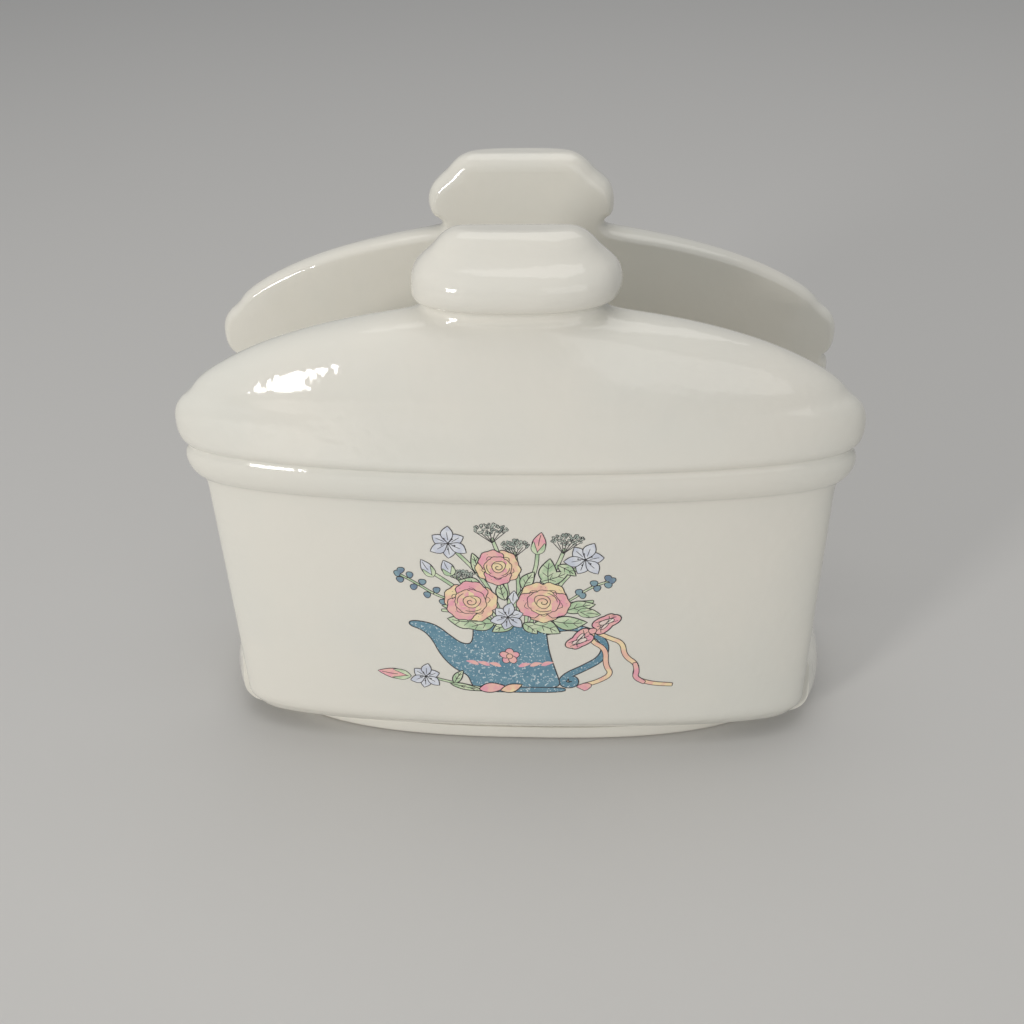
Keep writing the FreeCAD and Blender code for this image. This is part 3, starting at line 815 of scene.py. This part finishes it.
def node(tree, kind, settings=(), **sockets):
    """A new node with its settings and inputs; an underscore in an input's name stands for a space."""
    made = tree.nodes.new(kind)
    for key, value in dict(settings).items():
        setattr(made, key, value)
    for key, value in sockets.items():
        plug(tree, value, made.inputs[key.replace("_", " ")])
    return made


def colour_mix(tree, share, first, second):
    """The first colour, going over to the second as the share rises."""
    mix = node(tree, "ShaderNodeMix", {"data_type": "RGBA"}, Factor=share)
    for number, colour in zip(COLOUR_IN, (first, second)):
        plug(tree, colour, mix.inputs[number])
    return mix.outputs[COLOUR_OUT]


def maths(tree, operation, *values):
    made = node(tree, "ShaderNodeMath", {"operation": operation})
    for number, value in enumerate(values):
        plug(tree, value, made.inputs[number])
    return made.outputs[0]


def glaze_group():
    """Uneven fired glaze: a cloudy tone, tiny pinholes and specks, and a slow ripple in the surface."""
    group = bpy.data.node_groups.new("fired_glaze", "ShaderNodeTree")
    for name, kind, value in (("Tone", "NodeSocketColor", (0.8, 0.78, 0.7, 1)),
                              ("Cloud", "NodeSocketColor", (0.75, 0.74, 0.68, 1)),
                              ("Ripple", "NodeSocketFloat", 0.1)):
        socket = group.interface.new_socket(name, in_out="INPUT", socket_type=kind)
        socket.default_value = value
    for name, kind in (("Color", "NodeSocketColor"), ("Roughness", "NodeSocketFloat"),
                       ("Normal", "NodeSocketVector")):
        group.interface.new_socket(name, in_out="OUTPUT", socket_type=kind)
    start = group.nodes.new("NodeGroupInput")
    end = group.nodes.new("NodeGroupOutput")
    place = node(group, "ShaderNodeTexCoord").outputs["Object"]
    cloud = node(group, "ShaderNodeTexNoise", Vector=place, Scale=22.0, Detail=3.0)
    patches = node(group, "ShaderNodeMapRange", Value=cloud.outputs["Fac"], From_Min=0.42, From_Max=0.68)
    tone = colour_mix(group, patches.outputs["Result"], start.outputs["Tone"], start.outputs["Cloud"])
    specks = node(group, "ShaderNodeTexVoronoi", Vector=place, Scale=70.0, Randomness=1.0)
    speck = node(group, "ShaderNodeMapRange", Value=specks.outputs["Distance"], From_Min=0.012,
                 From_Max=0.035, To_Min=1.0, To_Max=0.0)
    chosen = node(group, "ShaderNodeSeparateColor", Color=specks.outputs["Color"])
    rare = maths(group, "GREATER_THAN", chosen.outputs["Red"], 0.94)
    shown = maths(group, "MULTIPLY", speck.outputs["Result"], rare)
    plug(group, colour_mix(group, shown, tone, (0.13, 0.11, 0.08, 1)), end.inputs["Color"])
    gloss = node(group, "ShaderNodeTexNoise", Vector=place, Scale=60.0, Detail=4.0)
    rough = node(group, "ShaderNodeMapRange", Value=gloss.outputs["Fac"], From_Min=0.3, From_Max=0.7,
                 To_Min=0.05, To_Max=0.11)
    plug(group, rough.outputs["Result"], end.inputs["Roughness"])
    slow = node(group, "ShaderNodeTexNoise", Vector=place, Scale=75.0, Detail=1.0)
    fine = node(group, "ShaderNodeTexNoise", Vector=place, Scale=330.0, Detail=1.0)
    height = maths(group, "MULTIPLY_ADD", fine.outputs["Fac"], 0.5, slow.outputs["Fac"])
    bump = node(group, "ShaderNodeBump", Height=height, Distance=0.001, Strength=start.outputs["Ripple"])
    plug(group, bump.outputs["Normal"], end.inputs["Normal"])
    return group


def fired_surface(name, group):
    """A material with the glaze's gloss and ripple, whose colour is still open."""
    material, tree, shader = new_material(name)
    fired = tree.nodes.new("ShaderNodeGroup")
    fired.node_tree = group
    fired.inputs["Ripple"].default_value = RIPPLE
    plug(tree, fired.outputs["Roughness"], shader.inputs["Roughness"])
    plug(tree, fired.outputs["Normal"], shader.inputs["Normal"])
    shader.inputs["IOR"].default_value = GLAZE_IOR
    return material, tree, shader, fired


def glazed(name, group, tone, cloud):
    material, tree, shader, fired = fired_surface(name, group)
    fired.inputs["Tone"].default_value = (*tone, 1)
    fired.inputs["Cloud"].default_value = (*cloud, 1)
    plug(tree, fired.outputs["Color"], shader.inputs["Base Color"])
    return material, tree, shader, fired


def cream_glaze(group):
    return glazed("cream_white_glaze", group, CREAM, CREAM_CLOUD)[0]


def foot_glaze(group):
    """The same glaze on the sides of the foot, wiped off to bare clay where it stands."""
    material, tree, shader, fired = glazed("wiped_foot", group, CREAM, FOOT_CLOUD)
    place = node(tree, "ShaderNodeTexCoord").outputs["Object"]
    level = node(tree, "ShaderNodeSeparateXYZ", Vector=place).outputs["Z"]
    grain = node(tree, "ShaderNodeTexNoise", Vector=place, Scale=400.0, Detail=5.0).outputs["Fac"]
    edge = maths(tree, "MULTIPLY_ADD", grain, 0.0005, level)
    bare = node(tree, "ShaderNodeMapRange", Value=edge, From_Min=0.0006, From_Max=0.0009,
                To_Min=1.0, To_Max=0.0).outputs["Result"]
    clay = colour_mix(tree, grain, (0.72, 0.66, 0.55, 1), (0.6, 0.54, 0.44, 1))
    plug(tree, colour_mix(tree, bare, fired.outputs["Color"], clay), shader.inputs["Base Color"])
    rough = node(tree, "ShaderNodeMix", Factor=bare)
    plug(tree, fired.outputs["Roughness"], rough.inputs[VALUE_IN[0]])
    plug(tree, 0.85, rough.inputs[VALUE_IN[1]])
    plug(tree, rough.outputs[VALUE_OUT], shader.inputs["Roughness"])
    return material


def print_ink(name, group, first, second, specks):
    """Fired ink under the same gloss: two tones in soft patches, and pale specks where it has them."""
    material, tree, shader, _ = fired_surface(f"ink_{name}", group)
    place = node(tree, "ShaderNodeTexCoord").outputs["Object"]
    patch = node(tree, "ShaderNodeTexNoise", Vector=place, Scale=420.0, Detail=2.0)
    spread = node(tree, "ShaderNodeMapRange", Value=patch.outputs["Fac"], From_Min=0.42, From_Max=0.6)
    tone = colour_mix(tree, spread.outputs["Result"], (*first, 1), (*second, 1))
    spots = node(tree, "ShaderNodeTexNoise", Vector=place, Scale=1900.0, Detail=2.0)
    shown = node(tree, "ShaderNodeMapRange", Value=spots.outputs["Fac"], From_Min=0.6, From_Max=0.64,
                 To_Max=specks)
    spotted = colour_mix(tree, shown.outputs["Result"], tone, (0.72, 0.8, 0.82, 1))
    plug(tree, spotted, shader.inputs["Base Color"])
    return material


# Stage, light and camera, in metres


FLOOR_SIZE = 6
DAYLIGHT = (1, 0.98, 0.95)
AIM = (0, 0, 0.07)               # middle of the holder, where every light points
CAMERA_PLACE = (0.0194, -0.308, 0.2489)
CAMERA_TURN, CAMERA_TILT, CAMERA_ROLL = 4.22, 57.48, -1.71   # degrees
LENS, SENSOR = 47.37, 36         # millimetres


def make_stage():
    only_nothing()
    bpy.ops.mesh.primitive_plane_add(size=FLOOR_SIZE)
    floor = bpy.context.object
    floor.name = "floor"
    material, _, shader = new_material("pale_floor")
    shader.inputs["Base Color"].default_value = (0.62, 0.61, 0.59, 1)
    shader.inputs["Roughness"].default_value = 0.7
    floor.data.materials.append(material)
    world = bpy.context.scene.world or bpy.data.worlds.new("studio")
    bpy.context.scene.world = world
    world.use_nodes = True
    background = world.node_tree.nodes["Background"]
    background.inputs["Color"].default_value = (0.95, 0.97, 1, 1)
    background.inputs["Strength"].default_value = 0.35


def softbox(name, place, size, power):
    light = bpy.data.lights.new(name, "AREA")
    light.shape = "RECTANGLE"
    light.size, light.size_y = size
    light.energy = power
    light.color = DAYLIGHT
    lamp = bpy.data.objects.new(name, light)
    lamp.location = place
    aim = Vector(AIM) - lamp.location
    lamp.rotation_euler = aim.to_track_quat("-Z", "Y").to_euler()
    bpy.context.collection.objects.link(lamp)


def make_lights():
    softbox("window", (-0.6, -0.82, 0.32), (0.17, 0.24), 4.2)
    softbox("overhead", (0.05, 0.1, 1.1), (1.0, 1.0), 4.2)
    softbox("front_fill", (0.5, -1.1, 0.5), (0.8, 0.6), 1.2)


def make_camera():
    data = bpy.data.cameras.new("camera")
    data.sensor_width = SENSOR
    data.lens = LENS
    data.clip_start = 0.01
    camera = bpy.data.objects.new("camera", data)
    turn, tilt, roll = (math.radians(angle) for angle in (CAMERA_TURN, CAMERA_TILT, CAMERA_ROLL))
    view = Matrix.Rotation(turn, 4, "Z") @ Matrix.Rotation(tilt, 4, "X") @ Matrix.Rotation(roll, 4, "Z")
    camera.matrix_world = Matrix.Translation(CAMERA_PLACE) @ view
    bpy.context.collection.objects.link(camera)
    bpy.context.scene.camera = camera


def main():
    group = glaze_group()
    glaze = cream_glaze(group)
    make_half(-1, "front", glaze, FRONT_LEAN)
    make_half(1, "back", glaze, BACK_LEAN)
    make_saddle(glaze)
    make_foot(foot_glaze(group))
    make_print(group)
    make_stage()
    make_lights()
    make_camera()
    bpy.context.scene.view_settings.view_transform = "Standard"


main()
